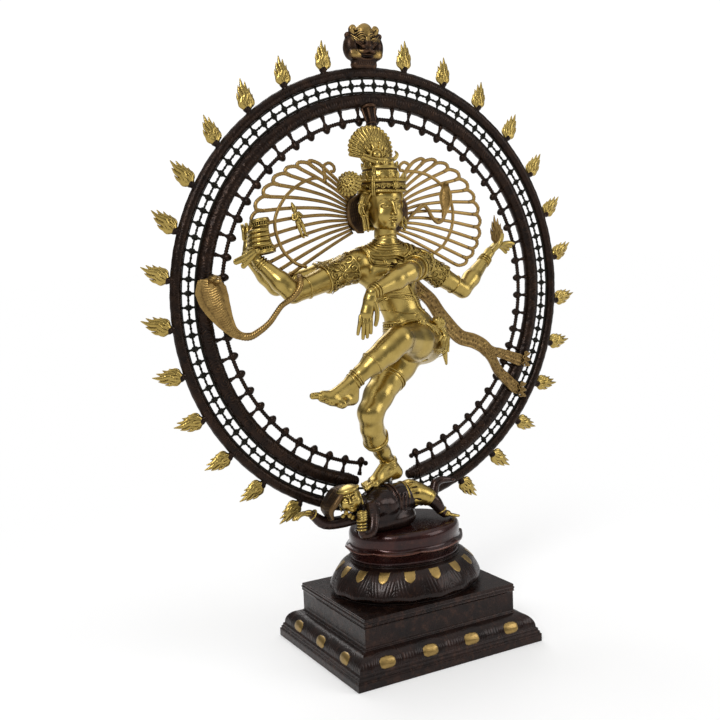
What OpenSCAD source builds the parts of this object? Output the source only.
// Dancing four-armed figure in cast brass, standing on a dwarf inside a ring of flames.
// Millimetres. +Z is up, the figure faces -Y, and the origin is the middle of the plinth's underside.
// "Left" and "right" in node names are the figure's own, so its right arms are on the -X side.

/* [Plinth] */
// Width of the plinth along X
plinth_w = 418; // [380:1:460]
// Depth of the plinth along Y
plinth_d = 334; // [300:1:360]
// Height of the plinth
plinth_h = 115; // [105:1:130]
// Inset of the upright faces from the bottom slab's edge
dado_inset = 39; // [30:1:46]
// Wall thickness of the cast shells
shell = 8; // [5:1:12]

/* [Oval pedestal] */
// Half width of the lotus at its widest, along X
lotus_rx = 160; // [140:1:168]
// Depth of the oval pieces as a share of their width
oval = 0.8; // [0.7:0.01:0.9]
// Height of the lotus
lotus_h = 68; // [55:1:80]
// Half width of the upper drum's pointed lip
lip_rx = 126; // [118:1:134]
// Height of the upper drum
drum_h = 62; // [50:1:75]

/* [Ring of flames] */
// Radius of the outer tube's centre line
outer_r = 430; // [400:1:440]
// Half thickness of the outer tube
outer_tube = 10.5; // [8:0.5:13]
// Radius of the middle tube's centre line
middle_r = 377.5; // [350:0.5:390]
// Half thickness of the middle tube
middle_tube = 14.5; // [11:0.5:17]
// Radius of the thin rail that joins the spindles
rail_r = 344; // [330:1:350]
// Radius that the spindles' pointed knobs reach in to
knob_tip_r = 329; // [320:1:335]
// Height of the ring's centre
ring_z = 698.5; // [690:0.5:705]
// How far the ring stands behind the middle of the plinth
ring_y = 50; // [40:1:60]
// Half of the gap that the dwarf and the foot leave in the inner members, in degrees
inner_gap = 11; // [8:1:14]
// Flames on each side of the ring
flames_per_side = 13; // [9:1:13]

/* [Fasteners] */
// Radius of the studs that hold the pedestal to the plinth
tie_r = 5; // [4:0.5:6]
// Radius of the small screws
screw_r = 3; // [2.5:0.5:4]

/* [Hidden] */

$fn = 96;
slack = 0.3;            // clearance round a bolt or between fitted castings
organic_fn = 12;        // facets round a blended limb
finger_fn = 8;          // facets round a finger
bore_fn = 24;           // facets round a bore through a blended casting
joint_angle = 0.05;     // gap of a brazed joint between sections of the ring, in degrees

// Heights that the pieces share
lotus_z = plinth_h;
drum_z = lotus_z + lotus_h;
deck_z = drum_z + drum_h;              // top of the upper drum, where the dwarf lies
sole_z = 330;                          // top of the dwarf's back, where the foot stands

// The figure's skeleton: joints as [x, y, z], each limb from its root to its end
right_shoulder = [-80, 0, 760];
left_shoulder = [58, 0, 761];
front_right = [right_shoulder, [-216, -6, 712], [-276, 24, 774]];
rear_right = [[-72, 24, 764], [-228, 52, 728], [-282, 60, 788]];
front_left = [[56, -16, 758], [-20, -88, 742], [-116, -108, 709]];
rear_left = [[66, 16, 764], [172, 16, 697], [257, 45, 760]];
standing = [[20, -2, 590], [-90, -42, 478], [-30, 4, 364]];
standing_heel = [-2, 12, 342];
standing_toe = [-90, -18, 332];
raised = [[54, -16, 600], [-54, -100, 630], [-160, -102, 553]];
raised_heel = [-162, -96, 522];
raised_toes = [[-242, -110, 534], [-198, -122, 516]];
neck_root = [-15, 0, 776];
neck_top = [-19, -4, 822];
skull = [-21, -2, 876];
jaw = [-20, -18, 846];
crown_foot = [-27, 0, 900];
crown_neck = [-24, 4, 958];

// ---- helpers -------------------------------------------------------------

function unit(v) = v / norm(v);
function mix(a, b, t) = a + (b - a) * t;
function row(a, b, n) = [for (i = [0 : n - 1]) mix(a, b, i / (n - 1))];

// Children's +Z axis runs from a towards b, with their origin at a
module along(a, b) {
  d = b - a;
  translate(a) rotate([0, acos(d.z / norm(d)), atan2(d.y, d.x)]) children();
}

// A blended bar between two balls
module bone(a, ra, b, rb, fn = organic_fn) {
  hull() {
    translate(a) sphere(r = ra, $fn = fn);
    translate(b) sphere(r = rb, $fn = fn);
  }
}

// A flat ring round a limb that runs from a to b: its middle is at share t of the length
module band(a, b, t, r, wide, thick) {
  along(mix(a, b, t), mix(a, b, t) + b - a)
    translate([0, 0, -wide / 2]) difference() {
      cylinder(r = r + thick, h = wide);
      translate([0, 0, -1]) cylinder(r = r, h = wide + 2);
    }
}

// Puts children in the ring's plane: their X is across, their Y is up, their Z points to the viewer
module ring_plane() {
  translate([0, ring_y, ring_z]) rotate([90, 0, 0]) children();
}

// An arc of round bar about the ring's centre; angles run anticlockwise from the right-hand side
module arc_tube(radius, tube, from, span) {
  rotate([0, 0, from]) rotate_extrude(angle = span) translate([radius, 0]) circle(r = tube);
}

// Cross-section frames of a swept bar: each ring has `sides` points round the route
function tangent(p, i) = unit(p[min(i + 1, len(p) - 1)] - p[max(i - 1, 0)]);
function ring_points(p, i, half_w, half_t, wide_dir, sides) =
  let (t = tangent(p, i), n = unit(cross(t, cross(wide_dir, t))), b = cross(t, n))
  [for (k = [0 : sides - 1]) let (a = 360 * k / sides) p[i] + n * half_w * cos(a) + b * half_t * sin(a)];

// Sweeps an ellipse along p; half_w[i] lies along wide_dir and half_t[i] across it
module sweep(p, half_w, half_t, wide_dir = [0, 1, 0], sides = 8) {
  n = len(p);
  points = [for (i = [0 : n - 1]) each ring_points(p, i, half_w[i], half_t[i], wide_dir, sides)];
  walls = [for (i = [0 : n - 2], k = [0 : sides - 1]) let (m = (k + 1) % sides)
    [i * sides + k, (i + 1) * sides + k, (i + 1) * sides + m, i * sides + m]];
  start = [[for (k = [0 : sides - 1]) k]];
  finish = [[for (k = [sides - 1 : -1 : 0]) (n - 1) * sides + k]];
  polyhedron(points, concat(walls, start, finish));
}

// A smooth curve through control points, with `steps` pieces to each gap
function catmull(a, b, c, d, t) =
  0.5 * (2 * b + (c - a) * t + (2 * a - 5 * b + 4 * c - d) * t * t + (3 * b - a - 3 * c + d) * t * t * t);
function curve(p, steps) = concat(
  [for (i = [0 : len(p) - 2], s = [0 : steps - 1])
    catmull(p[max(i - 1, 0)], p[i], p[i + 1], p[min(i + 2, len(p) - 1)], s / steps)],
  [p[len(p) - 1]]);

// ---- plinth --------------------------------------------------------------

// Inset of the plinth's face at each height, as [inset, z]
function skirt_curve() = [for (a = [0 : 15 : 90]) [8 + (dado_inset - 11) * (1 - cos(a)), 28 + 28 * sin(a)]];
plinth_profile = concat(
  [[0, 0], [0, 16], [2.5, 18], [2.5, 21], [5, 23], [5, 26]],
  skirt_curve(),
  [[dado_inset, 60], [dado_inset, plinth_h - 14], [dado_inset - 2, plinth_h - 11],
   [dado_inset - 2, plinth_h - 5], [dado_inset - 1, plinth_h - 4], [dado_inset - 1, plinth_h]]);

// A rectangular moulding: the same profile runs round all four sides with mitred corners
module moulded_side(half, length) {
  points = concat(
    [for (q = plinth_profile) [q[0] - half, q[1]]],
    [for (i = [len(plinth_profile) - 1 : -1 : 0]) [half - plinth_profile[i][0], plinth_profile[i][1]]]);
  rotate([90, 0, 0]) translate([0, 0, -length / 2]) linear_extrude(length) polygon(points);
}

module box_hollow(inset, top) {
  translate([-plinth_w / 2 + inset, -plinth_d / 2 + inset, -1])
    cube([plinth_w - 2 * inset, plinth_d - 2 * inset, top + 1]);
}

tie_places = [for (x = [-58, 58], y = [-30, 30]) [x, y]];

module plinth() {
  color([0.14, 0.09, 0.06]) difference() {
    intersection() {
      moulded_side(plinth_w / 2, plinth_d);
      rotate([0, 0, 90]) moulded_side(plinth_d / 2, plinth_w);
    }
    box_hollow(shell, 22);
    box_hollow(shell + 20, 44);
    box_hollow(dado_inset + shell, plinth_h - shell);
    for (q = tie_places) translate([q[0], q[1], plinth_h - 20]) cylinder(r = tie_r + slack, h = 30);
  }
}

// ---- oval pedestal -------------------------------------------------------

// Stacks ellipses into an oval solid: each level is [half width, z], from the bottom up
oval_sides = 48;
module oval_stack(levels) {
  n = len(levels);
  points = [for (q = levels, k = [0 : oval_sides - 1]) let (a = 360 * k / oval_sides)
    [q[0] * cos(a), oval * q[0] * sin(a), q[1]]];
  walls = [for (i = [0 : n - 2], k = [0 : oval_sides - 1]) let (m = (k + 1) % oval_sides)
    [i * oval_sides + k, (i + 1) * oval_sides + k, (i + 1) * oval_sides + m, i * oval_sides + m]];
  floor = [[for (k = [0 : oval_sides - 1]) k]];
  lid = [[for (k = [oval_sides - 1 : -1 : 0]) (n - 1) * oval_sides + k]];
  polyhedron(points, concat(walls, floor, lid));
}

// A hollow with straight sides and round ends
module slot_hollow(half_x, half_y, top) {
  translate([0, 0, -1]) {
    for (s = [-1, 1]) translate([s * (half_x - half_y), 0, 0]) cylinder(r = half_y, h = top + 1);
    translate([half_y - half_x, -half_y, 0]) cube([2 * (half_x - half_y), 2 * half_y, top + 1]);
  }
}

// The lotus swells from a pinched foot and draws in to the seam under the drum
lotus_levels = concat(
  [[lotus_rx - 14, 0], [lotus_rx - 3, 5], [lotus_rx, 12]],
  [for (a = [15 : 15 : 75]) [lotus_rx - 44 + 43 * cos(a), 12 + (lotus_h - 18) * sin(a)]],
  [[lotus_rx - 46, lotus_h - 5], [lotus_rx - 46, lotus_h]]);

module lotus_base() {
  color([0.16, 0.11, 0.07]) translate([0, 0, lotus_z]) difference() {
    oval_stack(lotus_levels);
    slot_hollow(100, 78, lotus_h - shell);
    for (q = tie_places) translate([q[0], q[1], lotus_h - 20]) cylinder(r = tie_r + slack, h = 30);
  }
}

// The upper drum flares from its foot to a pointed lip, then rises in a rounded wall
drum_levels = [
  [lip_rx - 14, 0], [lip_rx, 22], [lip_rx - 2, 25], [lip_rx - 10, 31],
  [lip_rx - 9, 44], [lip_rx - 13, 54], [lip_rx - 17, 59], [lip_rx - 22, drum_h]];

dwarf_screw_places = [[-60, -14], [-6, -14]];
saddle_screw_places = [[-22, ring_y + 20], [22, ring_y + 20]];
foot_bolt = [-30, -2];

module upper_pedestal() {
  color([0.17, 0.09, 0.06]) translate([0, 0, drum_z]) difference() {
    union() {
      difference() {
        oval_stack(drum_levels);
        slot_hollow(96, 74, drum_h - shell);
      }
      for (q = tie_places) translate([q[0], q[1], 0]) cylinder(r = 2 * tie_r, h = drum_h - shell + 1);
    }
    for (q = tie_places) translate([q[0], q[1], -1]) cylinder(r = tie_r, h = 41);
    for (q = concat(dwarf_screw_places, saddle_screw_places))
      translate([q[0], q[1], drum_h - 20]) cylinder(r = screw_r + slack, h = 30);
    translate([foot_bolt.x, foot_bolt.y, drum_h - 20]) cylinder(r = tie_r + slack, h = 30);
  }
}

// Studs run from under the plinth's deck up into the drum's threaded bosses
module pedestal_studs() {
  color([0.6, 0.6, 0.6]) for (q = tie_places)
    translate([q[0], q[1], plinth_h - shell - 18]) cylinder(r = tie_r, h = shell + 18 + lotus_h + 38);
}

module hex_nut(bore, across, high) {
  difference() {
    cylinder(r = across / sqrt(3), h = high, $fn = 6);
    translate([0, 0, -1]) cylinder(r = bore, h = high + 2);
  }
}

module pedestal_nuts() {
  color([0.62, 0.62, 0.62]) for (q = tie_places)
    translate([q[0], q[1], plinth_h - shell - 10]) hex_nut(tie_r, 17, 8);
}

// ---- ring of flames ------------------------------------------------------

outer_sections = 10;
inner_sections = 9;
inner_start = -90 + inner_gap;
inner_span = 360 - 2 * inner_gap;
lattice_cells = 10;                     // cells in one section of the lattice
spindle_cells = 6;                      // openings in one section of the spindle rail
lattice_in = middle_r + middle_tube;
lattice_thick = 7;
lattice_out = outer_r - outer_tube;

function polar(r, a) = [r * cos(a), r * sin(a)];

module outer_tube() {
  color([0.16, 0.11, 0.08]) ring_plane()
    for (i = [0 : outer_sections - 1])
      arc_tube(outer_r, outer_tube, i * 360 / outer_sections, 360 / outer_sections - joint_angle);
}

module middle_tube() {
  color([0.16, 0.11, 0.08]) ring_plane()
    for (i = [0 : inner_sections - 1])
      arc_tube(middle_r, middle_tube, inner_start + i * inner_span / inner_sections,
        inner_span / inner_sections - joint_angle);
}

// One six-sided opening between radii r0 and r1 and angles a0 and a1
function opening(r0, r1, a0, a1) = let (m = (r0 + r1) / 2, c = (a1 - a0) / 4) [
  polar(r0, a0 + c), polar(m, a0), polar(r1, a0 + c), polar(r1, a1 - c), polar(m, a1), polar(r0, a1 - c)];

// A plate that fills the arc between two radii, with rows of openings through it
module pierced_arc(r0, r1, from, span, openings, thick) {
  steps = 18;
  rim = concat([for (i = [0 : steps]) polar(r0, from + span * i / steps)],
               [for (i = [steps : -1 : 0]) polar(r1, from + span * i / steps)]);
  size = len(openings[0]);
  points = concat(rim, [for (o = openings) each o]);
  paths = concat([[for (i = [0 : len(rim) - 1]) i]],
                 [for (k = [0 : len(openings) - 1]) [for (i = [0 : size - 1]) len(rim) + k * size + i]]);
  translate([0, 0, -thick / 2]) linear_extrude(thick) polygon(points, paths);
}

// Two rows of openings with a stud left standing where four of them meet
module lattice_band() {
  span = 360 / outer_sections;
  cell = span / lattice_cells;
  mid = (lattice_in + lattice_out) / 2;
  row_h = mid - lattice_in - 5;
  color([0.12, 0.1, 0.08]) ring_plane() for (s = [0 : outer_sections - 1])
    pierced_arc(lattice_in - 1, lattice_out + 1, s * span, span,
      [for (i = [0 : lattice_cells - 1], foot = [lattice_in + 3, mid + 2])
        let (a = s * span + i * cell) opening(foot, foot + row_h, a + 0.2 * cell, a + 0.8 * cell)],
      lattice_thick);
}

// Pointed knob on the inner end of a spindle
module knob(a) {
  flat_r = rail_r - 4;
  rotate([0, 0, a]) translate([0, 0, -6]) linear_extrude(12)
    polygon([[knob_tip_r, 0], [knob_tip_r + 4, -7], [flat_r + 0.2, -7],
             [flat_r + 0.2, 7], [knob_tip_r + 4, 7]]);
}

// Spindles run in from the middle tube, and a beaded rail joins them behind their knobs
module spindle_rail() {
  span = inner_span / inner_sections;
  cell = span / spindle_cells;
  foot_r = middle_r - middle_tube;
  color([0.12, 0.1, 0.08]) ring_plane() for (s = [0 : inner_sections - 1]) {
    from = inner_start + s * span;
    pierced_arc(rail_r - 4, foot_r + 1, from, span,
      [for (i = [0 : spindle_cells - 1]) let (a = from + i * cell)
        opening(rail_r + 4, foot_r - 2, a + 0.2 * cell, a + 0.8 * cell)], 8);
    for (i = [0 : spindle_cells - 1]) knob(from + i * cell);
  }
}

// The ring stands in a saddle on the drum, behind the dwarf
saddle_w = 64;
saddle_h = 20;
saddle_d = 26;
flange = 5;
flange_reach = 14;
module ring_saddle() {
  color([0.15, 0.1, 0.07]) difference() {
    translate([-saddle_w / 2, ring_y - saddle_d / 2, deck_z]) union() {
      cube([saddle_w, saddle_d, saddle_h]);
      cube([saddle_w, saddle_d + flange_reach, flange]);
    }
    ring_plane() arc_tube(outer_r, outer_tube, -110, 40);
    for (q = saddle_screw_places) translate([q[0], q[1], deck_z - 1]) cylinder(r = screw_r + slack, h = 10);
  }
}

// A round-headed screw that points down from the origin
module screw(length) {
  translate([0, 0, -length]) cylinder(r = screw_r, h = length);
  difference() {
    cylinder(r = 2 * screw_r, h = 0.8 * screw_r);
    translate([-3 * screw_r, -0.5, 1.2]) cube([6 * screw_r, 1, 4]);
  }
}

module saddle_screws() {
  color([0.6, 0.6, 0.58]) for (q = saddle_screw_places)
    translate([q[0], q[1], deck_z + flange]) screw(flange + 14);
}

// Flames: a boss on the tube carries each one. Angles are from the top, and rise towards the side.
pin_r = 5.5;
ball_r = 7;
boss_r = outer_r + outer_tube + 5;
right_step = 11.5;
left_step = 12.3;
right_angles = [for (i = [0 : flames_per_side - 1]) -14.4 - right_step * i];
left_angles = [for (i = [0 : flames_per_side - 1]) 9.1 + left_step * i];

// A flame leans from the ring's own direction towards upright, by no more than 26 degrees
function lean(a) = sign(a) * min(5 + 0.6 * abs(a), 26);

module at_boss(a) {
  ring_plane() rotate([0, 0, -a]) translate([0, boss_r, 0]) children();
}

flame_outline = [
  [-6, 2], [-12, 7], [-14, 15], [-11, 22], [-14, 29], [-9, 31], [-11, 40], [-6, 41], [-5, 54],
  [0, 44], [3, 48], [4, 38], [9, 39], [8, 30], [13, 26], [12, 16], [10, 7], [6, 2]];

module flame(a) {
  at_boss(a) rotate([0, 0, lean(a)]) difference() {
    mirror([a < 0 ? 0 : 1, 0, 0]) translate([0, 0, -4]) linear_extrude(8) polygon(flame_outline);
    sphere(r = ball_r);
  }
}

module flames_right() { color([0.78, 0.62, 0.25]) for (a = right_angles) flame(a); }

module flames_left() { color([0.78, 0.62, 0.25]) for (a = left_angles) flame(a); }

module flame_pins() {
  color([0.2, 0.13, 0.08]) difference() {
    for (a = concat(right_angles, left_angles)) at_boss(a) {
      sphere(r = ball_r);
      translate([0, -12, 0]) rotate([-90, 0, 0]) cylinder(r = pin_r, h = 12);
    }
    ring_plane() arc_tube(outer_r, outer_tube, 0, 360);
  }
}

// The lion mask that crowns the ring stands on two rivets
mask_angle = -2.5;
mask_half = [-16, 16];

module mask_screws() {
  color([0.5, 0.4, 0.2]) difference() {
    for (x = mask_half) ring_plane() rotate([0, 0, -mask_angle]) translate([x, outer_r, 0])
      rotate([-90, 0, 0]) cylinder(r = screw_r, h = outer_tube + 16);
    ring_plane() arc_tube(outer_r, outer_tube, 60, 60);
  }
}

module top_mask() {
  color([0.8, 0.64, 0.27]) difference() {
    ring_plane() rotate([0, 0, -mask_angle]) translate([0, outer_r + outer_tube, 0]) {
      bone([0, 26, 6], 22, [0, 34, 2], 20);
      bone([-8, 12, 12], 12, [8, 12, 12], 12, finger_fn);
      for (s = [-1, 1]) {
        bone([12 * s, 10, 0], 12, [34 * s, 8, 0], 10, finger_fn);
        bone([18 * s, 40, 12], 8, [10 * s, 36, 18], 7, finger_fn);
        bone([16 * s, 46, 0], 9, [30 * s, 68, 0], 3, finger_fn);
        bone([26 * s, 26, 0], 9, [44 * s, 42, 0], 3, finger_fn);
      }
      bone([0, 50, 0], 12, [0, 78, 0], 5, finger_fn);
    }
    ring_plane() arc_tube(outer_r, outer_tube, 70, 40);
    for (x = mask_half) ring_plane() rotate([0, 0, -mask_angle]) translate([x, outer_r, 0])
      rotate([-90, 0, 0]) cylinder(r = screw_r, h = outer_tube + 16, $fn = 24);
  }
}

// A strut ties the crown to the ring's middle tube
strut_top = [-17, 47, ring_z + middle_r - middle_tube - 1];
strut_foot = [-18, 30, 1020];
module crown_bracket() {
  color([0.35, 0.25, 0.12]) difference() {
    union() {
      along(strut_top, strut_foot) cylinder(r1 = 9, r2 = 5, h = 45);
      along(strut_top, strut_foot) cylinder(r1 = 13, r2 = 11, h = 7);
    }
    ring_plane() arc_tube(middle_r, middle_tube, 80, 30);
  }
}

// ---- the dwarf -----------------------------------------------------------

module under_deck() { translate([-300, -200, deck_z - 60]) cube([600, 400, 60]); }

module dwarf_trunk() {
  bone([-104, -30, 290], 26, [-70, -24, 296], 30);
  bone([-70, -24, 296], 30, [-28, -18, 298], 29);
  bone([-28, -18, 298], 29, [0, -14, 300], 27);
  bone([-92, -30, 266], 18, [-10, -16, 266], 20);
}

module dwarf_body() {
  color([0.16, 0.12, 0.1]) difference() {
    union() {
      dwarf_trunk();
      bone([-118, -34, 306], 14, [-128, -36, 314], 14, 12);
      for (x = [-50, -38]) bone([x, -46, 300], 5, [x + 6, -38, 276], 5, 12);
      bone([-96, -52, 292], 14, [-60, -50, 286], 12, 14);
    }
    under_deck();
    foot_bore();
    for (q = dwarf_screw_places)
      translate([q[0], q[1], deck_z - 1]) cylinder(r = screw_r + slack, h = 17, $fn = bore_fn);
  }
}

// The bore that the foot's stud runs through, from the deck up into the heel
module foot_bore() {
  translate([foot_bolt.x, foot_bolt.y, deck_z - 1])
    cylinder(r = tie_r + slack, h = sole_z + 9 - deck_z, $fn = bore_fn);
}

module dwarf_head() {
  color([0.75, 0.6, 0.28]) difference() {
    union() {
      dwarf_skull(0);
      bone([-136, -66, 320], 6, [-138, -68, 326], 5, finger_fn);
      for (x = [-152, -120]) bone([x, -48, 322], 6, [x, -48, 314], 6, finger_fn);
    }
    dwarf_trunk();
    bone([-118, -34, 306], 14, [-128, -36, 314], 14, 12);
  }
}

module dwarf_arms() {
  color([0.2, 0.14, 0.1]) difference() {
    union() {
      bone([-112, -56, 300], 13, [-100, -76, 282], 11);
      bone([-100, -76, 282], 11, [-134, -82, 296], 11);
      bone([-134, -82, 296], 11, [-138, -80, 304], 12, 14);
      bone([-124, -30, 276], 12, [-184, -14, 274], 12);
      bone([-184, -14, 274], 12, [-208, -12, 296], 9);
      for (k = [-1 : 1]) bone([-212, -12 + 5 * k, 298], 6, [-244, -12 + 8 * k, 298 + 6 * k], 3.5, finger_fn);
    }
    dwarf_trunk();
    dwarf_skull(0.5);
    under_deck();
  }
}

// Face and hair, made fuller by `grow` where a neighbour keeps clear of them
module dwarf_skull(grow) {
  bone([-140, -44, 328], 24 + grow, [-136, -52, 314], 19 + grow);
  bone([-156, -34, 330], 22 + grow, [-176, -20, 306], 20 + grow);
  bone([-178, -20, 306], 18 + grow, [-182, -18, 292], 14 + grow);
}

module dwarf_shorts() {
  color([0.72, 0.56, 0.25]) difference() {
    union() {
      bone([2, -16, 302], 25, [26, -24, 296], 20);
      bone([6, -8, 300], 22, [34, 2, 292], 18);
    }
    dwarf_trunk();
    for (k = [0, 1]) bone([26 + 8 * k, -24 + 26 * k, 296 - 4 * k], 12, [50, -24 + 26 * k, 284], 10, 16);
    under_deck();
  }
}

module dwarf_legs() {
  color([0.16, 0.12, 0.1]) difference() {
    union() {
      bone([26, -24, 296], 12, [50, -36, 286], 15);
      bone([50, -36, 286], 14, [66, -38, 262], 11);
      bone([66, -38, 262], 11, [96, -46, 256], 9, 14);
      bone([34, 2, 292], 12, [72, 6, 274], 14);
      bone([72, 6, 274], 13, [84, 12, 304], 10);
      bone([84, 12, 304], 10, [122, 8, 308], 7, 14);
    }
    dwarf_trunk();
    under_deck();
  }
}

// Screws come up from inside the drum into the dwarf
module dwarf_screws() {
  color([0.6, 0.6, 0.58]) for (q = dwarf_screw_places)
    translate([q[0], q[1], deck_z - shell]) mirror([0, 0, 1]) screw(shell + 14);
}

// ---- the figure ----------------------------------------------------------

// Trunk without its clearances, so that the limbs can be cut to meet it
module trunk() {
  hull() {
    translate([12, 2, 612]) sphere(r = 40, $fn = organic_fn);
    translate([58, 4, 606]) sphere(r = 42, $fn = organic_fn);
    translate([18, 2, 640]) sphere(r = 34, $fn = organic_fn);
    translate([50, 2, 636]) sphere(r = 35, $fn = organic_fn);
  }
  hull() {
    translate([18, 2, 642]) sphere(r = 34, $fn = organic_fn);
    translate([44, 2, 640]) sphere(r = 34, $fn = organic_fn);
    translate([-6, 0, 686]) sphere(r = 29, $fn = organic_fn);
    translate([18, 0, 686]) sphere(r = 29, $fn = organic_fn);
  }
  hull() {
    translate([-6, 0, 684]) sphere(r = 29, $fn = organic_fn);
    translate([18, 0, 684]) sphere(r = 29, $fn = organic_fn);
    translate([-36, -4, 732]) sphere(r = 31, $fn = organic_fn);
    translate([18, -4, 734]) sphere(r = 31, $fn = organic_fn);
    translate([-58, -2, 752]) sphere(r = 20, $fn = organic_fn);
    translate([40, -2, 754]) sphere(r = 20, $fn = organic_fn);
    translate([-15, 0, 768]) sphere(r = 20, $fn = organic_fn);
  }
  bone(neck_root, 18, neck_top, 17);
}

module torso() {
  color([0.76, 0.6, 0.25]) {
    trunk();
    for (k = [0 : 3]) bone([70 - 6 * k, -14 + 6 * k, 612], 30, [60 - 10 * k, -22 + 10 * k, 584], 26, 14);
  }
}

// A foot from its heel to the ball, with five toes
module foot(heel, ball, toes, toe_r) {
  bone(heel, 13, ball, 11, 16);
  for (t = toes) bone(mix(heel, t, 0.8), toe_r + 1.5, t, toe_r, finger_fn);
}

module standing_leg() {
  color([0.77, 0.61, 0.26]) difference() {
    union() {
      bone(standing[0], 34, mix(standing[0], standing[1], 0.55), 27);
      bone(mix(standing[0], standing[1], 0.5), 27, standing[1], 22);
      bone(standing[1], 22, mix(standing[1], standing[2], 0.35), 21);
      bone(mix(standing[1], standing[2], 0.35), 21, standing[2], 12);
      bone(standing[2], 12, standing_heel, 13);
      bone(standing[2], 12, mix(standing_heel, standing_toe, 0.6), 11);
      foot(standing_heel, mix(standing_heel, standing_toe, 0.7),
        row(standing_toe + [4, -10, -1], standing_toe + [8, 14, 0], 5), 4);
    }
    trunk();
    dwarf_trunk();
    foot_bore();
  }
}

module raised_leg() {
  color([0.77, 0.61, 0.26]) difference() {
    union() {
      bone(raised[0], 36, raised[1], 25);
      bone(raised[1], 24, mix(raised[1], raised[2], 0.4), 21);
      bone(mix(raised[1], raised[2], 0.4), 21, raised[2], 13);
      bone(raised[2], 13, raised_heel, 13);
      foot(raised_heel, mix(raised_heel, mix(raised_toes[0], raised_toes[1], 0.4), 0.6),
        row(raised_toes[0], raised_toes[1], 5), 5);
    }
    trunk();
    bone(standing[0], 34.5, mix(standing[0], standing[1], 0.55), 27.5);
  }
}

// A stud runs from under the drum's deck through the dwarf into the heel, and keeps the figure upright
stud_foot = deck_z - shell - 12;
module foot_stud() {
  color([0.6, 0.6, 0.58]) translate([foot_bolt.x, foot_bolt.y, stud_foot])
    cylinder(r = tie_r, h = sole_z + 8 - stud_foot);
}

module foot_nut() {
  color([0.6, 0.6, 0.58]) translate([foot_bolt.x, foot_bolt.y, deck_z - shell - 8]) hex_nut(tie_r, 17, 8);
}

// An arm from shoulder to wrist
module arm(p, shoulder_r, elbow_r, wrist_r) {
  bone(p[0], shoulder_r, p[1], elbow_r);
  bone(p[1], elbow_r, mix(p[1], p[2], 0.4), elbow_r - 2);
  bone(mix(p[1], p[2], 0.4), elbow_r - 2, p[2], wrist_r);
}

// A palm and four fingers that fan from it, with a thumb
module hand(wrist, palm, tips, thumb) {
  bone(wrist, 10, palm, 11, 16);
  for (t = tips) bone(mix(palm, t, 0.15), 5.5, t, 3.5, finger_fn);
  bone(palm, 6, thumb, 4, finger_fn);
}

module front_right_arm() {
  color([0.78, 0.62, 0.27]) difference() {
    union() {
      arm(front_right, 25, 20, 11);
      hand(front_right[2], [-276, 26, 798],
        [for (k = [0 : 3]) [-254 - 3 * k, 14 - 2 * k, 812 + 10 * k]], [-284, 6, 812]);
    }
    trunk();
    drum_volume();
  }
}

module rear_right_arm() {
  color([0.72, 0.57, 0.24]) difference() {
    union() {
      arm(rear_right, 22, 19, 11);
      hand(rear_right[2], [-290, 64, 810],
        [for (k = [0 : 3]) [-280 - 9 * k, 66, 850 - 3 * k]], [-262, 60, 826]);
    }
    trunk();
    arm(front_right, 25.3, 20.3, 11.3);
  }
}

module front_left_arm() {
  color([0.78, 0.62, 0.27]) difference() {
    union() {
      arm(front_left, 22, 18, 12);
      hand(front_left[2], [-128, -108, 684],
        [for (k = [0 : 3]) [-140 + 7 * k, -104 - 2 * k, 640 - 8 * sin(60 * k)]], [-112, -112, 656]);
    }
    trunk();
  }
}

module rear_left_arm() {
  color([0.77, 0.61, 0.26]) difference() {
    union() {
      arm(rear_left, 24, 18, 11);
      hand(rear_left[2], [278, 50, 782],
        [for (k = [0 : 3]) [318, 42 + 5 * k, 776 + 8 * k]], [276, 38, 806]);
    }
    trunk();
    arm(front_left, 22.3, 18.3, 12.3);
  }
}

module head() {
  color([0.8, 0.65, 0.3]) difference() {
    union() {
      hull() {
        translate(skull) sphere(r = 33, $fn = organic_fn);
        translate(jaw) sphere(r = 22, $fn = organic_fn);
        translate(jaw + [0, -4, -6]) sphere(r = 14, $fn = organic_fn);
      }
      bone(skull + [0, 14, 4], 33, skull + [0, 20, -18], 26);
      bone(skull + [0, -32, -4], 4, skull + [0, -38, -16], 5, finger_fn);
      for (s = [-1, 1]) bone(skull + [34 * s, 0, 0], 5, skull + [33 * s, 2, -22], 4, finger_fn);
      bone(jaw + [0, -20, 2], 5, jaw + [0, -18, -10], 6, 12);
    }
    trunk();
  }
}

// The crown is a stepped cone of bands over the hair
crown_outline = [
  [0, 0], [46, 0], [49, 3], [51, 12], [48, 18], [42, 20], [44, 26], [43, 34], [36, 38], [38, 44],
  [36, 52], [29, 56], [26, 62], [0, 62]];

module crown_volume() {
  along(crown_foot, crown_neck) rotate_extrude() polygon(crown_outline);
}

module crown() {
  color([0.75, 0.6, 0.27]) difference() {
    crown_volume();
    translate(skull) sphere(r = 33.2);
    translate(skull + [0, 14, 4]) sphere(r = 33.2);
  }
}

// A spread of peacock feathers rises from the top of the crown
feather_outline = [
  [-14, 0], [-30, 14], [-42, 34], [-40, 50], [-28, 62], [-14, 70], [0, 76], [14, 70], [28, 62],
  [40, 50], [42, 34], [30, 14], [14, 0]];

feather_thick = 22;
module crown_feathers() {
  color([0.7, 0.55, 0.24]) difference() {
    translate([-27, 14, 952]) rotate([78, 0, 6]) translate([0, 0, -feather_thick / 2])
      linear_extrude(feather_thick) polygon(feather_outline);
    crown_volume();
  }
}

module ear_flower() {
  color([0.76, 0.6, 0.26]) translate([-92, 4, 913]) rotate([80, 0, -30])
    rotate_extrude() polygon([[0, -5], [17, -5], [20, 0], [16, 6], [6, 8], [0, 11]]);
}

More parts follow.
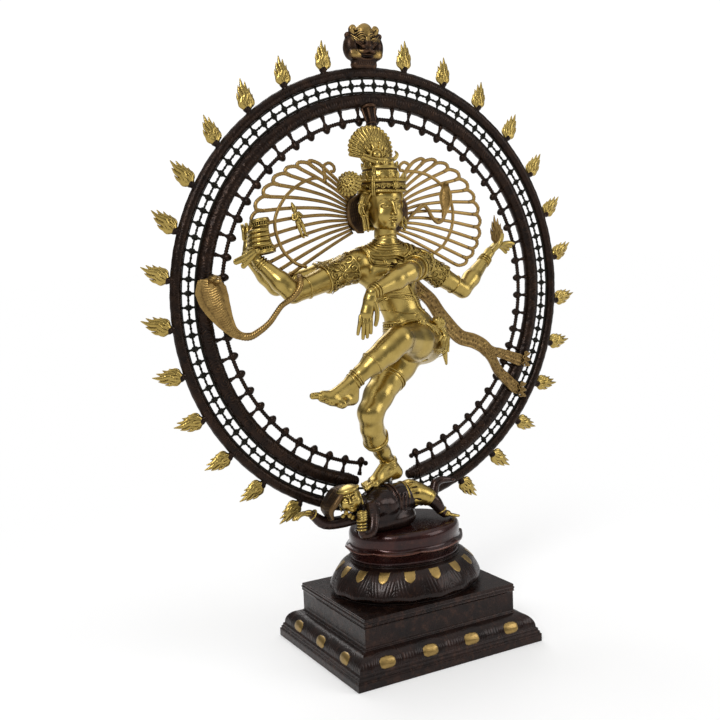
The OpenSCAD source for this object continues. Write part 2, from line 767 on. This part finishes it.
// A long tassel hangs at the figure's right ear and a hoop at its left
module earrings() {
  color([0.76, 0.6, 0.26]) {
    translate([-64, -14, 820]) rotate_extrude() polygon([
      [0, 0], [6, 2], [7, 20], [5, 36], [7, 44], [8, 54], [5, 62], [2, 68], [0, 68]]);
    translate([24, -6, 836]) rotate([0, 90, 0]) rotate_extrude() translate([11, 0]) circle(r = 4.5);
  }
}

// ---- dress and ornaments -------------------------------------------------

// Three collars lie round the neck, each wider and lower than the last
module necklaces() {
  color([0.8, 0.64, 0.28]) difference() {
    union() for (k = [0 : 2]) translate([-15, -3 - 5 * k, 794 - 13 * k]) rotate([12 + 7 * k, 0, 0])
      for (a = [0 : 40 : 320]) bone(collar_point(k, a), 4, collar_point(k, a + 40), 4, finger_fn);
    trunk();
  }
}
function collar_point(k, a) = [(24 + 11 * k) * cos(a), 0.86 * (23 + 11 * k) * sin(a), 0];

// A belt is a slice of the hips made a little fuller
module belt_slice(swell, low, wide) {
  intersection() {
    hull() for (q = [[14, 2, 606, 42], [58, 4, 602, 43], [18, 2, 650, 33], [46, 2, 648, 33]])
      translate([q[0], q[1], q[2]]) sphere(r = q[3] + swell, $fn = organic_fn);
    translate([34, 0, low]) rotate([0, 8, 0]) translate([-100, -100, 0]) cube([200, 200, wide]);
  }
}

module waist_belt() {
  color([0.77, 0.6, 0.24]) difference() {
    union() {
      belt_slice(7, 616, 14);
      belt_slice(5, 638, 7);
      bone([84, -30, 640], 12, [92, -26, 630], 11, finger_fn);
      bone([78, -34, 632], 8, [98, -24, 644], 8, finger_fn);
    }
    trunk();
  }
}

module hip_tassels() {
  color([0.74, 0.58, 0.24]) {
    along([108, -26, 612], [106, -24, 536]) rotate_extrude()
      polygon([[0, 0], [7, 2], [5, 30], [7, 60], [9, 70], [7, 78], [0, 80]]);
    along([116, -8, 606], [122, -6, 572]) rotate_extrude()
      polygon([[0, 0], [6, 2], [5, 20], [8, 32], [6, 38], [0, 40]]);
  }
}

module armlets() {
  color([0.7, 0.54, 0.22]) {
    band(front_right[0], front_right[1], 0.28, 25.2, 26, 5);
    band(rear_left[0], rear_left[1], 0.42, 24.2, 30, 5);
    band(front_left[0], front_left[1], 0.62, 22.2, 14, 4);
    band(rear_right[0], rear_right[1], 0.34, 22.2, 20, 4);
  }
}

module bangles() {
  color([0.72, 0.56, 0.24]) {
    band(front_right[1], front_right[2], 0.86, 15.6, 12, 3);
    band(rear_right[1], rear_right[2], 0.86, 15.6, 12, 3);
    band(front_left[1], front_left[2], 0.9, 14.4, 12, 3);
    band(rear_left[1], rear_left[2], 0.88, 14.2, 12, 3);
  }
}

module anklets() {
  color([0.74, 0.58, 0.25]) {
    band(standing[0], standing[1], 0.5, 29.4, 6, 3);
    band(standing[1], standing[2], 0.5, 20.6, 5, 3);
    for (t = [0.88, 0.97]) band(standing[1], standing[2], t, 14.4, 7, 3.5);
    for (t = [0.82, 1.0]) band(raised[1], raised[2], t, 16, 7, 3.5);
  }
}

// ---- hair fans -----------------------------------------------------------

fan_centre = [-27, 30, 850];
fan_strands = 13;
fan_thick = 6;

// Strand i of a fan: its angle above the horizontal and how far it reaches
function strand_angle(i) = 46 - 82 * i / (fan_strands - 1);
function strand_reach(i) = 138 + 112 * sin(min(90, 15 * i));
function fan_point(r, a) = [r * cos(a), r * sin(a)];

module ray(i) {
  a = strand_angle(i);
  rotate([0, 0, a]) translate([44, -2.2]) square([strand_reach(i) - 44, 4.4]);
}

// A strip that joins the strands at share k of their reach
module strip(k, wide) {
  polygon(concat(
    [for (i = [0 : fan_strands - 1]) fan_point(k * strand_reach(i), strand_angle(i))],
    [for (i = [fan_strands - 1 : -1 : 0]) fan_point(k * strand_reach(i) + wide, strand_angle(i))]));
}

module fan(side) {
  translate(fan_centre) rotate([90, 0, 0]) mirror([side < 0 ? 1 : 0, 0, 0])
    for (piece = [0 : fan_strands + 2]) translate([0, 0, -fan_thick / 2]) linear_extrude(fan_thick)
      if (piece < fan_strands) ray(piece);
      else if (piece == fan_strands) strip(0.78, 5);
      else if (piece == fan_strands + 1) strip(0.97, 9);
      else polygon([[34, -34], [52, -40], [58, -10], [58, 18], [52, 46], [34, 40]]);
}

module hair_fan_right() { color([0.62, 0.46, 0.2]) fan(-1); }

module hair_fan_left() { color([0.62, 0.46, 0.2]) fan(1); }

// A small standing figure on the right-hand fan and a small hooded snake on the left-hand one
module fan_figurine() {
  front = fan_centre.y - fan_thick / 2;
  color([0.74, 0.58, 0.25]) translate([-190, front - 7, 818]) {
    rotate_extrude() polygon([[0, 0], [7, 0], [5, 12], [7, 30], [6, 42], [3, 45], [0, 46]]);
    translate([0, 0, 51]) sphere(r = 6.5);
    translate([0, 0, 55]) cylinder(r1 = 5, r2 = 2, h = 14);
  }
}

module fan_cobra() {
  front = fan_centre.y - fan_thick / 2;
  color([0.74, 0.58, 0.25]) sweep(
    curve([[96, front - 5, 862], [112, front - 5, 838], [130, front - 5, 842], [138, front - 5, 866],
           [146, front - 6, 888], [146, front - 8, 908]], 3),
    [for (i = [0 : 15]) i < 9 ? 4 : 4 + 6 * sin(30 * (i - 9))], [for (i = [0 : 15]) 3.5], [1, 0, 0]);
}

// ---- things held ---------------------------------------------------------

drum_foot = [-261, 16, 792];
drum_top = [-270, 28, 852];

module drum_volume() {
  along(drum_foot, drum_top) rotate_extrude()
    polygon([[0, 0], [21, 0], [21, 4], [14, 28], [14, 34], [21, 58], [21, 62], [0, 62]]);
}

module hand_drum() { color([0.7, 0.54, 0.23]) drum_volume(); }

module drum_ribbon() {
  color([0.7, 0.54, 0.23]) difference() {
    union() for (k = [0, 1])
      along(mix(drum_foot, drum_top, 0.45), [-318 + 14 * k, 4, 772 - 2 * k])
        translate([-2, -6, 0]) cube([4, 9, 58 - 8 * k]);
    drum_volume();
  }
}

module palm_flame() {
  color([0.72, 0.55, 0.24]) translate([294, 50, 794]) rotate([90, 0, 0]) difference() {
    translate([0, 0, -4]) linear_extrude(8) polygon(flame_outline);
    sphere(r = 6);
  }
}

cobra_route = [
  [-176, 20, 716], [-172, -22, 722], [-196, -34, 732], [-226, -30, 728], [-244, -18, 706], [-256, 0, 680],
  [-280, 6, 652], [-308, 8, 637], [-333, 12, 648], [-354, 14, 674], [-367, 17, 706], [-372, 18, 738]];

// The snake crosses the right elbow, hangs in a loop and rears its hood beside the ring
module arm_cobra() {
  steps = 4;
  n = steps * (len(cobra_route) - 1) + 1;
  hood_from = 0.62;
  hood = [for (i = [0 : n - 1]) let (t = i / (n - 1))
    t < hood_from ? 4.5 + 4 * t : 7 + 19 * sin(min(180, 180 * (t - hood_from) / 0.36))];
  color([0.77, 0.61, 0.27]) difference() {
    sweep(curve(cobra_route, steps), [for (w = hood) max(3, w)], [for (i = [0 : n - 1]) 5], [1, 0, 0]);
    arm(front_right, 25, 20, 11);
  }
}

// An engraved sash flies from behind the waist to the ring and ends in two tails.
// Routes are [x, z] in a plane just in front of the ring.
sash_band = [[62, 702], [82, 702], [101, 684], [122, 656], [140, 632], [158, 612], [176, 598], [198, 588]];
sash_upper = [[222, 584], [246, 578], [268, 566], [288, 549], [308, 536], [338, 528]];
sash_lower = [[222, 565], [240, 557], [258, 541], [274, 519], [294, 495], [324, 467]];
sash_half = 16;
tail_half = 8;
sash_thick = 6;

// The points of a route moved sideways by d
function side_points(p, d) =
  [for (i = [0 : len(p) - 1]) let (t = tangent(p, i)) [p[i][0] - d * t[1], p[i][1] + d * t[0]]];
function reversed(p) = [for (i = [len(p) - 1 : -1 : 0]) p[i]];

module sash() {
  color([0.66, 0.5, 0.22]) translate([0, ring_y - middle_tube - 1, 0]) rotate([90, 0, 0])
    linear_extrude(sash_thick) polygon(concat(
      side_points(sash_band, sash_half), side_points(sash_upper, tail_half),
      reversed(side_points(sash_upper, -tail_half)), side_points(sash_lower, tail_half),
      reversed(side_points(sash_lower, -tail_half)), reversed(side_points(sash_band, -sash_half))));
}

plinth();
lotus_base();
upper_pedestal();
pedestal_studs();
pedestal_nuts();
dwarf_body();
dwarf_head();
dwarf_arms();
dwarf_legs();
dwarf_shorts();
dwarf_screws();
outer_tube();
lattice_band();
middle_tube();
spindle_rail();
ring_saddle();
saddle_screws();
flames_right();
flames_left();
flame_pins();
top_mask();
mask_screws();
crown_bracket();
torso();
standing_leg();
raised_leg();
foot_stud();
foot_nut();
front_right_arm();
rear_right_arm();
front_left_arm();
rear_left_arm();
head();
crown();
crown_feathers();
ear_flower();
earrings();
necklaces();
waist_belt();
hip_tassels();
armlets();
bangles();
anklets();
hair_fan_right();
hair_fan_left();
fan_figurine();
fan_cobra();
hand_drum();
drum_ribbon();
palm_flame();
arm_cobra();
sash();
